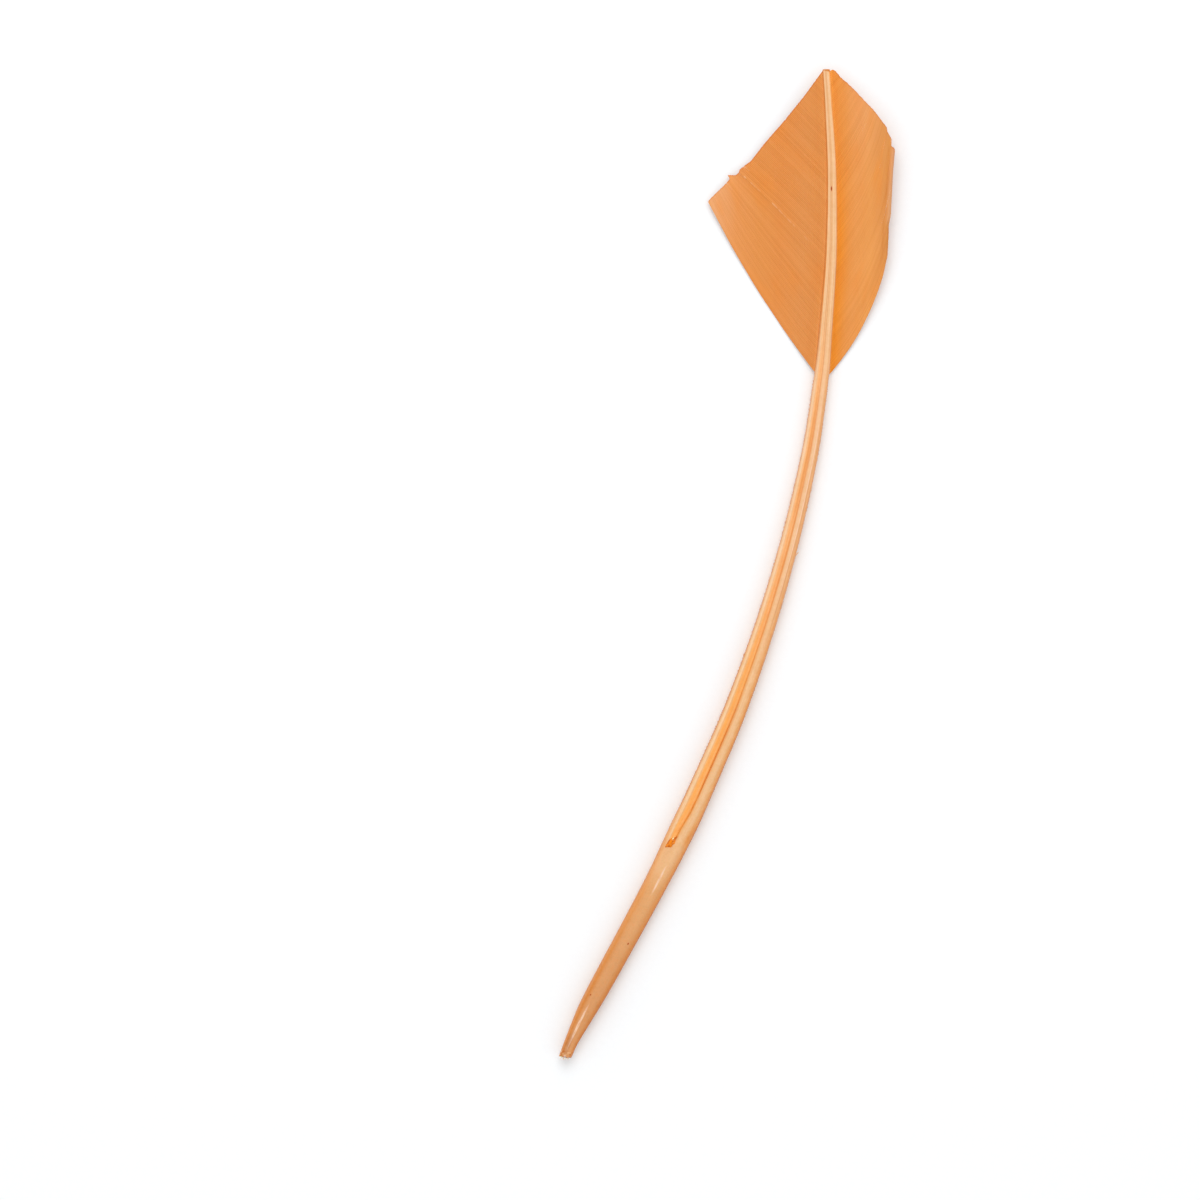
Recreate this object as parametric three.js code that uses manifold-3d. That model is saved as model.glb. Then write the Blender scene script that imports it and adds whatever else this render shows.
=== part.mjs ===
// A turkey wing feather: one long shaft, bare for most of its length, with a wide and a narrow
// vane left at the tip end. It lies on its back, with the grooved side of the shaft upwards.
//
// Millimetres, +Z up. The shaft runs along +Y from the quill end to the tip, and +X is the side of
// the narrow vane. All sizes are given from the quill end, and centred() moves the whole feather
// so that its origin is under the middle of its box.

import * as THREE from "three";
import { mergeVertices } from "three/addons/utils/BufferGeometryUtils.js";
import Module from "manifold-3d";

// ---- driving dimensions ---------------------------------------------------------------------

const LENGTH = 265.6;                 // quill end to the cut tip of the shaft
const BOX_MIDDLE = [3.53, 132.9];     // middle of the feather's box, from the quill end

// Shaft stations: distance along Y, sideways bow of the centre line, width and depth.
const SHAFT = [
  [0, 0.0, 3.2, 3.1],
  [4.5, 0.6, 3.5, 3.4],
  [12.5, 2.25, 4.9, 4.7],
  [20, 4.1, 5.55, 5.3],
  [33, 7.3, 5.8, 5.4],
  [50, 11.35, 6.1, 5.6],
  [65, 14.4, 6.7, 5.9],
  [75, 16.2, 6.45, 5.7],
  [101, 20.0, 5.85, 5.2],
  [134, 22.15, 5.0, 4.6],
  [166, 21.6, 4.35, 4.1],
  [189, 19.15, 3.8, 3.7],
  [201, 17.05, 3.4, 3.3],
  [220, 13.4, 3.0, 2.9],
  [240, 8.25, 2.5, 2.5],
  [258, 2.5, 2.05, 2.1],
  [LENGTH, -0.1, 1.9, 1.8],
];
const RINGS = 50;                     // steps along the shaft
const FLANK_ANGLES = [-75, -50, -25, 0, 28, 56]; // points of a half section, in degrees
const SQUARENESS = 0.35;              // how far the grooved shaft leaves a round section

// The shaft lies flat on its middle; the quill end and the tip curve up a little.
const FLAT_FROM = 30;
const FLAT_TO = 190;
const QUILL_LIFT = 1.6;
const TIP_LIFT = 4.0;

// The groove starts at the umbilicus, a small sealed hole where the round quill ends.
const UMBILICUS = { along: 61, sideways: -1.1, size: [0.8, 1.8, 0.45], turn: 16 };
const GROOVE = { from: 61, fullFrom: 100, depth: 0.5 };
const QUILL_PIT = { rim: 0.62, floor: 0.4, depth: 2.2 }; // hollow end, as shares of the width

// The vanes are sheets of locks of barbs. Each barb leaves the shaft at its root angle and ends on
// the trimmed edge. "ends" gives how far along that edge it ends, for roots from foot to tip.
const ROOT_INSET = 0.35;              // roots lie inside the shaft, as a share of its half width
const ROOT_HEIGHT = 0.36;             // share of the shaft's depth
const THICKNESS = 0.6;
const LOCK_RIDGE = 0.16;
const WIDE_VANE = {
  side: -1,
  foot: 188,
  top: 264.6,
  rootAngle: [45, 41],
  locks: 34,
  columns: 11,
  ends: [[0, 0], [0.12, 0.085], [0.27, 0.175], [0.38, 0.266], [0.5, 0.41], [0.75, 0.715], [1, 1]],
  edge: [
    [-20.95, 224.7], [-17.8, 230.1], [-17.05, 231.7], [-17.7, 232.9], [-15.7, 233.2],
    [-15.1, 234.9], [-12.9, 237.7], [-9.7, 244.9], [-3.8, 257.4], [-0.8, 265.0],
  ],
};
const NARROW_VANE = {
  side: 1,
  foot: 187.2,
  top: 264.6,
  rootAngle: [36, 42],
  locks: 30,
  columns: 9,
  ends: [[0, 0], [0.25, 0.55], [0.5, 0.67], [0.75, 0.81], [1, 1]],
  edge: [
    [28.0, 218.1], [27.7, 222.9], [25.9, 230.9], [25.8, 233.3], [23.4, 244.7], [22.45, 250.0],
    [21.2, 250.5], [20.9, 252.2], [18.9, 254.8], [14.4, 258.5], [8.4, 262.3], [4.3, 264.4],
    [1.75, 265.9],
  ],
};
// Height of each vane over its roots: [distance from the shaft, height].
const WIDE_RISE = [[0, 0], [8, -0.7], [16, -0.95], [26, -0.7], [38, 0.1]];
const NARROW_RISE = [[0, 0], [4, -0.55], [8, -0.15], [12, 1.0], [16, 2.6]];

// ---- curves ---------------------------------------------------------------------------------

// Smooth value of column "column" at "x" in rows sorted by their first number.
function smooth(rows, x, column = 1) {
  const last = rows.length - 1;
  const slope = (k) => {
    const [a, b] = [rows[Math.max(k - 1, 0)], rows[Math.min(k + 1, last)]];
    return (b[column] - a[column]) / (b[0] - a[0]);
  };
  let k = 0;
  while (k < last - 1 && x > rows[k + 1][0]) k += 1;
  const step = rows[k + 1][0] - rows[k][0];
  const t = THREE.MathUtils.clamp((x - rows[k][0]) / step, 0, 1);
  const start = rows[k][column];
  const end = rows[k + 1][column];
  const bend = (1 - t) * (step * slope(k) - (end - start)) + t * (end - start - step * slope(k + 1));
  return start + t * (end - start) + t * (1 - t) * bend;
}

const bow = (y) => smooth(SHAFT, y, 1);
const width = (y) => smooth(SHAFT, y, 2);
const depth = (y) => smooth(SHAFT, y, 3);

// Unit vector along the shaft, in plan.
function heading(y) {
  return new THREE.Vector2(bow(y + 0.5) - bow(y - 0.5), 1).normalize();
}

// Height of the shaft's underside.
function underside(y) {
  const quill = Math.max(0, 1 - y / FLAT_FROM);
  const tip = Math.max(0, (y - FLAT_TO) / (LENGTH - FLAT_TO));
  return QUILL_LIFT * quill ** 2 + TIP_LIFT * tip ** 2;
}

// Point at a share of a polyline's length.
function alongEdge(edge, share) {
  const points = edge.map(([x, y]) => new THREE.Vector2(x, y));
  const steps = points.slice(1).map((p, k) => p.distanceTo(points[k]));
  let left = share * steps.reduce((sum, step) => sum + step, 0);
  let k = 0;
  while (k < steps.length - 1 && left > steps[k]) {
    left -= steps[k];
    k += 1;
  }
  return points[k].clone().lerp(points[k + 1], Math.min(left / steps[k], 1));
}

// ---- shaft ----------------------------------------------------------------------------------

// Closed section across the shaft, as [sideways, up] from the middle of its underside.
function section(y, scale = 1) {
  const grooved = THREE.MathUtils.smoothstep(y, GROOVE.from, GROOVE.fullFrom);
  const power = 1 - SQUARENESS * grooved;
  const halfWidth = (width(y) / 2) * scale;
  const halfDepth = (depth(y) / 2) * scale;
  const lowest = Math.sin(THREE.MathUtils.degToRad(-FLANK_ANGLES[0])) ** power;
  const flank = FLANK_ANGLES.map((degrees) => {
    const angle = THREE.MathUtils.degToRad(degrees);
    const rise = Math.sign(angle) * Math.abs(Math.sin(angle)) ** power;
    return [halfWidth * Math.cos(angle) ** power, halfDepth * (angle < 0 ? rise / lowest : rise)];
  });
  const top = [0, halfDepth - GROOVE.depth * grooved];
  const left = flank.map(([x, z]) => [-x, z]).reverse();
  const middle = depth(y) / 2;
  return [...flank, top, ...left].map(([x, z]) => [x, z + middle]);
}

// One ring of the shaft's surface; "set" moves it along the shaft.
function ring(y, scale = 1, set = 0) {
  const along = heading(y);
  const x0 = bow(y) + along.x * set;
  const y0 = y + along.y * set;
  return section(y, scale).map(
    ([across, up]) =>
      new THREE.Vector3(x0 + across * along.y, y0 - across * along.x, up + underside(y)),
  );
}

function shaft() {
  const rings = [ring(0, QUILL_PIT.floor, QUILL_PIT.depth), ring(0, QUILL_PIT.rim)];
  for (let k = 0; k <= RINGS; k += 1) rings.push(ring((LENGTH * k) / RINGS));
  const count = rings[0].length;
  const points = rings.flat();
  const faces = [];
  for (let r = 0; r < rings.length - 1; r += 1) {
    for (let k = 0; k < count; k += 1) {
      const next = (k + 1) % count;
      const [a, b] = [r * count + k, r * count + next];
      faces.push([a, b + count, b], [a, a + count, b + count]);
    }
  }
  const lastRing = (rings.length - 1) * count;
  const [pitMiddle, tipMiddle] = [points.length, points.length + 1];
  for (const first of [0, lastRing]) {
    const middle = new THREE.Vector3();
    for (let k = 0; k < count; k += 1) middle.addScaledVector(points[first + k], 1 / count);
    points.push(middle);
  }
  for (let k = 0; k < count; k += 1) {
    const next = (k + 1) % count;
    faces.push([pitMiddle, k, next], [tipMiddle, lastRing + next, lastRing + k]);
  }
  return solid(points, faces);
}

// The resin-like lump that seals the end of the round quill.
function umbilicus() {
  const { along, sideways, size, turn } = UMBILICUS;
  const share = sideways / (width(along) / 2);
  const top = underside(along) + (depth(along) / 2) * (1 + Math.sqrt(1 - share ** 2));
  const lump = new THREE.SphereGeometry(1, 12, 8).scale(...size);
  lump.rotateZ(-Math.asin(heading(along).x) - THREE.MathUtils.degToRad(turn));
  lump.translate(bow(along) + sideways, along, top - size[2] * 0.4);
  return fromGeometry(lump);
}

// ---- vanes ----------------------------------------------------------------------------------

// Plan of one barb, as a curve from its root to the trimmed edge; "share" runs from foot to top.
function barb(vane, share) {
  const y = THREE.MathUtils.lerp(vane.foot, vane.top, share);
  const along = heading(y);
  const inset = vane.side * ROOT_INSET * (width(y) / 2);
  const root = new THREE.Vector2(bow(y) + inset * along.y, y - inset * along.x);
  const end = alongEdge(vane.edge, smooth(vane.ends, share));
  const angle = -vane.side * THREE.MathUtils.degToRad(
    THREE.MathUtils.lerp(vane.rootAngle[0], vane.rootAngle[1], share),
  );
  const reach = root.distanceTo(end) / 2;
  const bend = along.clone().rotateAround(new THREE.Vector2(), angle).multiplyScalar(reach);
  return new THREE.QuadraticBezierCurve(root, bend.add(root), end);
}

// Middle height of a vane at a point in plan.
function vaneHeight(vane, point) {
  const y = Math.min(point.y, LENGTH);
  const away = Math.max(0, vane.side * (point.x - bow(y)));
  const rise = vane.side < 0 ? WIDE_RISE : NARROW_RISE;
  return underside(y) + ROOT_HEIGHT * depth(y) + smooth(rise, away);
}

// A closed sheet with a low ridge along the middle of every lock.
function vaneSheet(vane) {
  const rows = 2 * vane.locks;
  const { columns } = vane;
  const points = [];
  for (let r = 0; r <= rows; r += 1) {
    const curve = barb(vane, r / rows);
    for (let c = 0; c <= columns; c += 1) {
      const plan = curve.getPoint(c / columns);
      const height = vaneHeight(vane, plan);
      const ridge = r % 2 === 1 ? LOCK_RIDGE : 0;
      points.push(new THREE.Vector3(plan.x, plan.y, height + THICKNESS / 2 + ridge));
      points.push(new THREE.Vector3(plan.x, plan.y, height - THICKNESS / 2));
    }
  }
  const at = (r, c, under) => 2 * (r * (columns + 1) + c) + under;
  const faces = [];
  const quad = (a, b, c, d) => faces.push([a, b, c], [a, c, d]);
  for (let r = 0; r < rows; r += 1) {
    for (let c = 0; c < columns; c += 1) {
      quad(at(r, c, 0), at(r, c + 1, 0), at(r + 1, c + 1, 0), at(r + 1, c, 0));
      quad(at(r, c, 1), at(r + 1, c, 1), at(r + 1, c + 1, 1), at(r, c + 1, 1));
    }
    quad(at(r, 0, 1), at(r, 0, 0), at(r + 1, 0, 0), at(r + 1, 0, 1));
    quad(at(r, columns, 0), at(r, columns, 1), at(r + 1, columns, 1), at(r + 1, columns, 0));
  }
  for (let c = 0; c < columns; c += 1) {
    quad(at(0, c, 0), at(0, c, 1), at(0, c + 1, 1), at(0, c + 1, 0));
    quad(at(rows, c, 1), at(rows, c, 0), at(rows, c + 1, 0), at(rows, c + 1, 1));
  }
  const outward = vane.side > 0 ? faces : faces.map(([a, b, c]) => [a, c, b]);
  return solid(points, outward);
}

// ---- solids ---------------------------------------------------------------------------------

const wasm = await Module();
wasm.setup();

function solid(points, faces) {
  const vertProperties = new Float32Array(points.flatMap((p) => [p.x, p.y, p.z]));
  const triVerts = new Uint32Array(faces.flat());
  return new wasm.Manifold(new wasm.Mesh({ numProp: 3, vertProperties, triVerts }));
}

function fromGeometry(shape) {
  shape.deleteAttribute("normal");
  shape.deleteAttribute("uv");
  const merged = mergeVertices(shape);
  const vertProperties = new Float32Array(merged.attributes.position.array);
  const triVerts = new Uint32Array(merged.index.array);
  return new wasm.Manifold(new wasm.Mesh({ numProp: 3, vertProperties, triVerts }));
}

function toGeometry(manifold) {
  const mesh = manifold.getMesh();
  const shape = new THREE.BufferGeometry();
  shape.setAttribute("position", new THREE.BufferAttribute(mesh.vertProperties, 3));
  shape.setIndex(new THREE.BufferAttribute(mesh.triVerts, 1));
  shape.computeVertexNormals();
  return shape;
}

function centred(shape) {
  return shape.translate(-BOX_MIDDLE[0], -BOX_MIDDLE[1], 0);
}

// ---- feather --------------------------------------------------------------------------------

const whole = shaft().add(umbilicus()).add(vaneSheet(WIDE_VANE)).add(vaneSheet(NARROW_VANE));
const orangeKeratin = new THREE.MeshStandardMaterial({
  color: 0xe8974a,
  roughness: 0.55,
  metalness: 0,
});
const feather = new THREE.Mesh(centred(toGeometry(whole)), orangeKeratin);
feather.name = "feather";

const group = new THREE.Group();
group.add(feather);

export default group;
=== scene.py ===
"""A turkey wing feather, dyed orange, stripped along most of its shaft and trimmed round its tip.
It lies with its grooved side up. All sizes below are in millimetres, measured from the quill end
along the straight line to the tip (y) and towards the narrow vane (x), with z up."""

import math

import bpy
import numpy as np
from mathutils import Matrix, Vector


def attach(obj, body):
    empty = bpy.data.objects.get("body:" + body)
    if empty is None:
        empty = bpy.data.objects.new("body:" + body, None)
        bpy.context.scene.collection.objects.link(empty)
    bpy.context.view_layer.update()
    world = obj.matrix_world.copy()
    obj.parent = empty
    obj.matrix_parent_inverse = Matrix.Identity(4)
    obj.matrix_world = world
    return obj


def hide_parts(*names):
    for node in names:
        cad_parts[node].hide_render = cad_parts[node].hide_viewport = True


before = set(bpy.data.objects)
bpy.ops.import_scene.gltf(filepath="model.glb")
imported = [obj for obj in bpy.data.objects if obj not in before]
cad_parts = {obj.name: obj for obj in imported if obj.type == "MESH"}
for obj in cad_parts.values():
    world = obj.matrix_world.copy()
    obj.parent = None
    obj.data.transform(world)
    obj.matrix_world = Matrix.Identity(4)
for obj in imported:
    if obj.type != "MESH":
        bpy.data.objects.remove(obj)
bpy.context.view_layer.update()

MM = 0.001
RANDOM = np.random.default_rng(41)

# ---- driving dimensions ------------------------------
# The shaft's stations and the vanes' feet, tops, root angles, ends and rises are the CAD model's.
# The groove, the umbilicus and the trimmed edges have more detail here than there.

LENGTH = 265.6  # quill end to the cut tip of the shaft
BOX_MIDDLE = (3.53, 132.9)  # middle of the feather's box, from the quill end

# Shaft stations: distance along y, sideways bow of the centre line, width and depth.
SHAFT = (
    (0, 0.0, 3.2, 3.1),
    (4.5, 0.6, 3.5, 3.4),
    (12.5, 2.25, 4.9, 4.7),
    (20, 4.1, 5.55, 5.3),
    (33, 7.3, 5.8, 5.4),
    (50, 11.35, 6.1, 5.6),
    (65, 14.4, 6.7, 5.9),
    (75, 16.2, 6.45, 5.7),
    (101, 20.0, 5.85, 5.2),
    (134, 22.15, 5.0, 4.6),
    (166, 21.6, 4.35, 4.1),
    (189, 19.15, 3.8, 3.7),
    (201, 17.05, 3.4, 3.3),
    (220, 13.4, 3.0, 2.9),
    (240, 8.25, 2.5, 2.5),
    (258, 2.5, 2.05, 2.1),
    (LENGTH, -0.1, 1.9, 1.8),
)
SQUARENESS = 0.35  # how far the grooved shaft leaves a round section
FLAT_FROM, FLAT_TO = 30, 190  # the part of the shaft that lies flat
QUILL_LIFT, TIP_LIFT = 1.6, 4.0
TIP_END = LENGTH - 0.3  # the cut face, inside the full length that the vanes reach
ROUND_QUILL_ENDS, GROOVE_FULL_FROM = 61, 100

# Groove stations: distance along y, then as shares of the width its middle, its reach to the
# left and to the right, and its depth in millimetres.
GROOVE = (
    (61, -0.26, 0.06, 0.05, 0.12),
    (64, -0.15, 0.12, 0.05, 0.30),
    (70, -0.04, 0.19, 0.05, 0.40),
    (80, 0.0, 0.23, 0.05, 0.46),
    (120, -0.03, 0.24, 0.06, 0.52),
    (150, -0.03, 0.23, 0.08, 0.48),
    (190, -0.05, 0.18, 0.12, 0.26),
    (225, -0.06, 0.20, 0.16, 0.18),
    (LENGTH, -0.08, 0.20, 0.18, 0.12),
)
CREASE_WIDTH, CREASE_DEPTH = 0.016, 0.14  # the sharp line along the groove's deepest part
CREASE_FADES = (170, 205)

# The resin-like umbilicus is a flat drop with an uneven rim, half sizes across and along. It is
# set into the horn by "sunk", and its rim goes deeper by "skirt".
UMBILICUS = {
    "along": 60.9, "sideways": -1.15, "turn": 16, "half_sizes": (0.70, 1.7), "height": 0.36,
    "unevenness": 0.42, "ripple": 0.3, "skirt": 0.3, "sunk": 0.04,
}
# A pale flake at the umbilicus's upper end is a painted glint on the drop. Its place is along the
# shaft, and across and up from the middle of its top.
UMBILICUS_GLINT = {"place": (61.6, -1.24, -0.02), "length": 0.75, "half_width": 0.2, "curl": 0.5}

# Each barb leaves the shaft at its root angle and ends on the trimmed edge. "ends" gives how far
# along that edge it ends, for roots from foot to top. "rise" is height by distance from the shaft.
BARB_PITCH, BARBULE_PITCH = 0.5, 0.09
BARB_HALF_WIDTH = 0.2  # the unit of places across a barb
SPLIT_HIGHLIGHT_STRENGTH = 0.42  # how strongly the first barb beyond a split is painted with a highlight
LEAST_HIGHLIGHT_GAP = 0.05  # a split with a smaller half gap has no painted highlight
ROOT_INSET = 0.35  # roots lie inside the shaft, as a share of its half width
ROOT_HEIGHT = 0.36  # share of the shaft's depth
WIDE_VANE = {
    "name": "wide_vane",
    "side": -1,
    "foot": 188.0,
    "top": 264.6,
    "root_angle": (45, 41),
    "ends": (
        (0, 0), (0.12, 0.085), (0.27, 0.175), (0.38, 0.266), (0.5, 0.41), (0.75, 0.715), (1, 1),
    ),
    "edge": (
        (-20.95, 224.7), (-20.3, 226.0), (-17.8, 230.1), (-17.05, 231.75), (-17.2, 232.1),
        (-17.8, 232.65), (-15.75, 233.15), (-15.15, 234.05), (-15.1, 234.9), (-13.95, 236.4),
        (-12.85, 237.7), (-11.25, 241.6), (-9.7, 244.9), (-7.1, 250.1), (-3.8, 257.4),
        (-0.8, 265.0),
    ),
    "rise": ((0, 0), (8, -0.7), (16, -0.95), (26, -0.7), (38, 0.1)),
}
NARROW_VANE = {
    "name": "narrow_vane",
    "side": 1,
    "foot": 187.2,
    "top": 264.6,
    "root_angle": (36, 42),
    "ends": ((0, 0), (0.25, 0.55), (0.5, 0.67), (0.75, 0.81), (1, 1)),
    "edge": (
        (28.0, 218.1), (27.75, 222.9), (26.7, 227.85), (25.95, 230.9), (25.85, 233.3),
        (24.75, 238.4), (23.4, 244.7), (22.45, 250.0), (21.25, 250.5), (20.95, 252.2),
        (19.4, 253.8), (18.95, 254.8), (16.9, 256.5), (14.4, 258.5), (11.95, 260.0),
        (8.4, 262.3), (6.45, 263.4), (4.3, 264.45), (2.65, 265.6), (1.75, 265.9),
    ),
    "rise": ((0, 0), (4, -0.55), (8, -0.15), (12, 1.0), (16, 2.6)),
}
# Where barbs have come unzipped: share of the trimmed edge, depth and half gap at the edge.
# Last is how much higher the barbs on its tip side lie.
SPLITS = {
    "wide_vane": (
        (0.144, 3.0, 0.05, 0.05), (0.266, 26.0, 0.05, 0.16), (0.31, 2.0, 0.07, 0.0),
        (0.47, 18.0, 0.0, -0.10), (0.70, 12.0, 0.02, 0.08),
    ),
    "narrow_vane": (
        (0.42, 5.0, 0.0, -0.04), (0.60, 3.0, 0.04, 0.04), (0.885, 2.8, 0.045, 0.16),
    ),
}
# The outer ends of the narrow vane's barbs stand a little apart from the rest, as a strip. It is
# lifted, with a crease along its inside; light is painted on the strip from "pale_from" on, and shade
# in the crease.
MARGIN_STRIP = {
    "width": 1.5, "from": 221, "pale_from": 233, "to": 250, "lift": 0.12, "crease": 0.10,
}

# Where barbs were stripped off the shaft, their stubs are left.
STUBS_FROM, STUBS_TO, STUB_PITCH = 64.0, 187.0, 0.5
STUB_LENGTH, STUB_RADIUS = (0.12, 0.34), 0.15
STUB_ROOT = 0.12  # how far they start inside the horn
SLIVERS = ((141.0, 1, 1.7), (112.0, -1, 1.1))  # lifted off the horn: place, side and length

# Marks in the horn: middle along the shaft and across it (share of half the width), half length
# in millimetres and half width as a share. The pale streaks are in the round quill and the right
# flank; the first, near the quill end, is partly a pale flaw in the wall and partly a painted
# highlight. The tan ones are in the right flank, and the amber ones in and beside the groove.
PALE_STREAKS_AND_HIGHLIGHT = ((8.4, -0.15, 6.8, 0.17), (50.6, 0.08, 4.6, 0.10), (158.0, 0.47, 34.0, 0.06))
TAN_STREAKS = ((132.0, 0.55, 15.0, 0.07), (153.0, 0.63, 14.0, 0.08), (173.0, 0.72, 12.0, 0.07))
AMBER_STREAKS = ((63.2, -0.16, 2.5, 0.10), (142.0, -0.06, 18.0, 0.13), (168.0, -0.22, 20.0, 0.24))
DARK_FLECKS = ((32.8, 0.35, 0.35, 0.07), (235.9, -0.12, 0.70, 0.17), (17.5, -0.45, 0.30, 0.06))
DULL_END = ((1.0, -0.35, 7.0, 0.55),)

# ---- curves ------------------------------------------


def smooth(rows, x, column=1):
    """Smooth values of one column at x, in rows sorted by their first number."""
    rows = np.asarray(rows, float)
    knots, values = rows[:, 0], rows[:, column]
    order = np.arange(len(knots))
    after, before = np.minimum(order + 1, order[-1]), np.maximum(order - 1, 0)
    slopes = (values[after] - values[before]) / (knots[after] - knots[before])
    k = np.clip(np.searchsorted(knots, x) - 1, 0, order[-1] - 1)
    step, rise = knots[k + 1] - knots[k], values[k + 1] - values[k]
    t = np.clip((x - knots[k]) / step, 0, 1)
    bend = (1 - t) * (step * slopes[k] - rise) + t * (rise - step * slopes[k + 1])
    return values[k] + t * rise + t * (1 - t) * bend


def ease(x, low, high):
    t = np.clip((x - low) / (high - low), 0, 1)
    return t * t * (3 - 2 * t)


def bow(y):
    return smooth(SHAFT, y, 1)


def width(y):
    return smooth(SHAFT, y, 2)


def depth(y):
    return smooth(SHAFT, y, 3)


def heading(y):
    """Unit vectors along the shaft in plan, one row each."""
    slope = bow(y + 0.5) - bow(y - 0.5)
    return np.stack([slope, np.ones_like(slope)], -1) / np.hypot(slope, 1)[..., None]


def underside(y):
    quill = np.maximum(0, 1 - y / FLAT_FROM)
    tip = np.maximum(0, (y - FLAT_TO) / (LENGTH - FLAT_TO))
    return QUILL_LIFT * quill**2 + TIP_LIFT * tip**2


def wave_noise(shape, knots, smallest=3):
    """Smooth random values from -1 to 1 over a grid, with so many knots along each side."""
    coarse = RANDOM.uniform(-1, 1, [max(k, smallest) for k in knots])
    for axis, count in enumerate(shape):
        places = np.linspace(0, coarse.shape[axis] - 1, count)
        low = np.minimum(places.astype(int), coarse.shape[axis] - 2)
        share = (places - low).reshape([-1 if a == axis else 1 for a in range(len(shape))])
        share = share * share * (3 - 2 * share)
        first, second = np.take(coarse, low, axis), np.take(coarse, low + 1, axis)
        coarse = first * (1 - share) + second * share
    return coarse


# ---- mesh making -------------------------------------


def grid_faces(strips, rows, columns):
    """Quads of strips of rings: each strip has rows of so many points, joined round."""
    strip, row, column = np.meshgrid(
        np.arange(strips), np.arange(rows - 1), np.arange(columns), indexing="ij"
    )
    following = (column + 1) % columns
    base = (strip * rows + row) * columns
    quads = [base + column, base + columns + column, base + columns + following, base + following]
    return np.stack(quads, -1).reshape(-1, 4).tolist()


def add_object(name, data):
    made = bpy.data.objects.new(name, data)
    bpy.context.scene.collection.objects.link(made)
    return made


def add_piece(name, points, faces, materials, values=None, uv=None, sharp=None, slots=None):
    """A piece from points in millimetres, riding on the feather's body in its place."""
    mesh = bpy.data.meshes.new(name)
    places = (np.asarray(points, float).reshape(-1, 3) - (*BOX_MIDDLE, 0)) * MM
    mesh.from_pydata(places.tolist(), [], faces)
    for key, numbers in (values or {}).items():
        layer = mesh.attributes.new(key, "FLOAT", "POINT")
        layer.data.foreach_set("value", np.asarray(numbers, np.float32).ravel())
    if uv is not None:
        layer = mesh.uv_layers.new(name="OFBake")
        layer.data.foreach_set("uv", np.asarray(uv, np.float32).ravel())
    for material in materials:
        mesh.materials.append(material)
    if slots is not None:
        mesh.polygons.foreach_set("material_index", np.asarray(slots, np.int32))
    mesh.shade_smooth()
    if sharp is not None:
        mesh.set_sharp_from_angle(angle=math.radians(sharp))
    mesh.validate()
    piece = add_object(name, mesh)
    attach(piece, "root")
    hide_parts("feather")
    return piece


# ---- shaders -----------------------------------------


def colour(red, green, blue):
    """Linear colour from screen values of 0 to 255."""
    shares = np.array([red, green, blue]) / 255
    linear = np.where(shares > 0.04045, ((shares + 0.055) / 1.055) ** 2.4, shares / 12.92)
    return (*linear.tolist(), 1.0)


class Shader:
    """A material with one Principled shader, and short calls for the nodes that feed it."""

    def __init__(self, name, **sockets):
        self.material = bpy.data.materials.new(name)
        self.material.use_nodes = True
        self.tree = self.material.node_tree
        self.surface = self.tree.nodes["Principled BSDF"]
        for socket, value in sockets.items():
            self.surface.inputs[socket.replace("_", " ")].default_value = value

    def node(self, kind, inputs=None, **settings):
        made = self.tree.nodes.new("ShaderNode" + kind)
        for key, value in settings.items():
            setattr(made, key, value)
        for key, value in (inputs or {}).items():
            if isinstance(value, bpy.types.NodeSocket):
                self.tree.links.new(value, made.inputs[key])
            else:
                made.inputs[key].default_value = value
        return made

    def value(self, name):
        return self.node("Attribute", attribute_name=name).outputs["Fac"]

    def values(self, *names):
        return [self.value(name) for name in names]

    def math(self, operation, a, b=0.0, c=0.0):
        return self.node("Math", {0: a, 1: b, 2: c}, operation=operation).outputs[0]

    def times(self, a, b):
        return self.math("MULTIPLY", a, b)

    def span(self, x, low, high, to_low=0.0, to_high=1.0):
        inputs = {"Value": x, "From Min": low, "From Max": high}
        inputs.update({"To Min": to_low, "To Max": to_high})
        return self.node("MapRange", inputs, interpolation_type="SMOOTHSTEP").outputs[0]

    def mix(self, share, first, second, blend="MIX"):
        inputs = {0: share, 6: first, 7: second}
        return self.node("Mix", inputs, data_type="RGBA", blend_type=blend).outputs[2]

    def ramp(self, x, stops):
        made = self.node("ValToRGB", {"Fac": x})
        elements = made.color_ramp.elements
        while len(elements) < len(stops):
            elements.new(0.5)
        for element, (position, tint) in zip(elements, stops):
            element.position, element.color = position, tint
        return made.outputs["Color"]

    def noise(self, vector, scale, detail=3.0, roughness=0.55):
        inputs = {"Vector": vector, "Scale": scale, "Detail": detail, "Roughness": roughness}
        return self.node("TexNoise", inputs).outputs["Fac"]

    def vector(self, x, y=0.0, z=0.0):
        return self.node("CombineXYZ", {"X": x, "Y": y, "Z": z}).outputs[0]

    def brighten(self, tint, x, amount):
        """Scales a colour by 1 plus or minus the amount, for x from 0 to 1. Blue swings more than
        red, so what is brighter is also paler."""
        factors = {}
        for channel, swing in enumerate((0.6 * amount, amount, 1.7 * amount)):
            factors[channel] = self.math("MULTIPLY_ADD", x, 2 * swing, 1 - swing)
        return self.mix(1.0, tint, self.node("CombineColor", factors).outputs[0], "MULTIPLY")

    def finish(self, tint, roughness=None, height=None, distance=0.00001, strength=1.0):
        self.tree.links.new(tint, self.surface.inputs["Base Color"])
        if roughness is not None:
            self.tree.links.new(roughness, self.surface.inputs["Roughness"])
        if height is not None:
            inputs = {"Height": height, "Distance": distance, "Strength": strength}
            bump = self.node("Bump", inputs).outputs["Normal"]
            self.tree.links.new(bump, self.surface.inputs["Normal"])
        return self.material
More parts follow.
